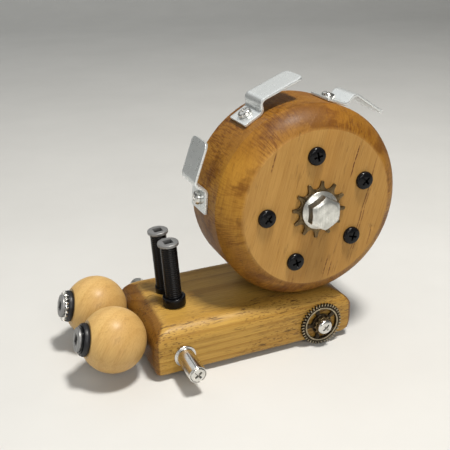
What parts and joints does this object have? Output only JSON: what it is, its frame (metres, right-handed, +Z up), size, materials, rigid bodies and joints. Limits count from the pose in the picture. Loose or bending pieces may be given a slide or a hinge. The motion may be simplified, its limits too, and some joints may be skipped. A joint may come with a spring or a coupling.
{
  "type": "wooden snail figure with a turning shell",
  "caption": "Handmade wooden snail ornament: a sanded block for the foot, a turning wheel for the shell, balls for eyes, bolts for feelers, and clips and gears as trim.",
  "frame": {"origin": "on the resting surface, under the middle of the whole snail's bounding box", "axes": "+Z up, -X the way the snail looks, -Y its near side, where the shell's decorated face is"},
  "size_m": [0.1514, 0.0892, 0.1227],
  "materials": {
    "pine": "varnished",
    "shell_wood": "turned and waxed",
    "hidden_board": "sanded",
    "beech": "smooth",
    "black_steel": "black oxide",
    "bright_steel": "zinc plated",
    "clip_steel": "zinc plated sheet",
    "antique_bronze": "antique patina",
    "bush_bronze": "turned",
    "black_rubber": "matt",
    "brown_pad": "matt"
  },
  "bodies": {
    "snail_body": {"body_block": "pine", "foot_pads": "brown_pad", "wheel_upright": "hidden_board", "upright_screws": "bright_steel", "axle_bolt": "bright_steel", "spiked_washer": "antique_bronze", "axle_spacer_washer": "bright_steel", "axle_back_washer": "bright_steel", "axle_lock_nut": "bright_steel", "near_eye_ring": "black_steel", "far_eye_star_washer": "bright_steel", "near_eye_ball": "beech", "near_eye_rubber_washer": "black_rubber", "near_eye_screw": "bright_steel", "near_antenna_bolt": "black_steel", "near_antenna_collar": "black_steel", "near_arm_sleeve": "bright_steel", "near_arm_screw": "bright_steel", "near_gear_bush": "bush_bronze", "near_gear_screw": "bright_steel", "far_eye_ball": "beech", "far_eye_rubber_washer": "black_rubber", "far_eye_screw": "bright_steel", "far_antenna_bolt": "black_steel", "far_antenna_collar": "black_steel", "far_arm_sleeve": "bright_steel", "far_arm_screw": "bright_steel", "far_gear_bush": "bush_bronze", "far_gear_screw": "bright_steel"},
    "shell": {"shell_wheel": "shell_wood", "wheel_bush": "bush_bronze", "shell_screws": "black_steel", "clip_screws": "bright_steel"},
    "clip_1": {"rim_clip_1": "clip_steel"},
    "clip_2": {"rim_clip_2": "clip_steel"},
    "clip_3": {"rim_clip_3": "clip_steel"},
    "near_gear": {"near_tail_gear": "antique_bronze", "near_gear_cog": "antique_bronze"},
    "far_gear": {"far_tail_gear": "antique_bronze", "far_gear_cog": "antique_bronze"}
  },
  "joints": [
    {"name": "shell_turn", "type": "hinge", "parent": "snail_body", "child": "shell", "pos_m": [0.0318, -0.01115, 0.0687], "axis": [0, 1, 0], "range_deg": [-60, 90]},
    {"name": "clip_1_swivel", "type": "hinge", "parent": "shell", "child": "clip_1", "pos_m": [-0.01247, -0.0046, 0.07265], "axis": [-0.996, 0, 0.0889], "range_deg": [-15, 15]},
    {"name": "clip_2_swivel", "type": "hinge", "parent": "shell", "child": "clip_2", "pos_m": [0.00904, -0.0068, 0.10688], "axis": [-0.512, 0, 0.859], "range_deg": [-15, 15]},
    {"name": "clip_3_swivel", "type": "hinge", "parent": "shell", "child": "clip_3", "pos_m": [0.04737, -0.0084, 0.11034], "axis": [0.3502, 0, 0.9367], "range_deg": [-15, 15]},
    {"name": "near_gear_spin", "type": "hinge", "parent": "snail_body", "child": "near_gear", "pos_m": [0.0358, -0.0299, 0.0107], "axis": [0, 1, 0], "continuous": true},
    {"name": "far_gear_spin", "type": "hinge", "parent": "snail_body", "child": "far_gear", "pos_m": [0.0358, 0.0299, 0.0107], "axis": [0, 1, 0], "continuous": true}
  ]
}
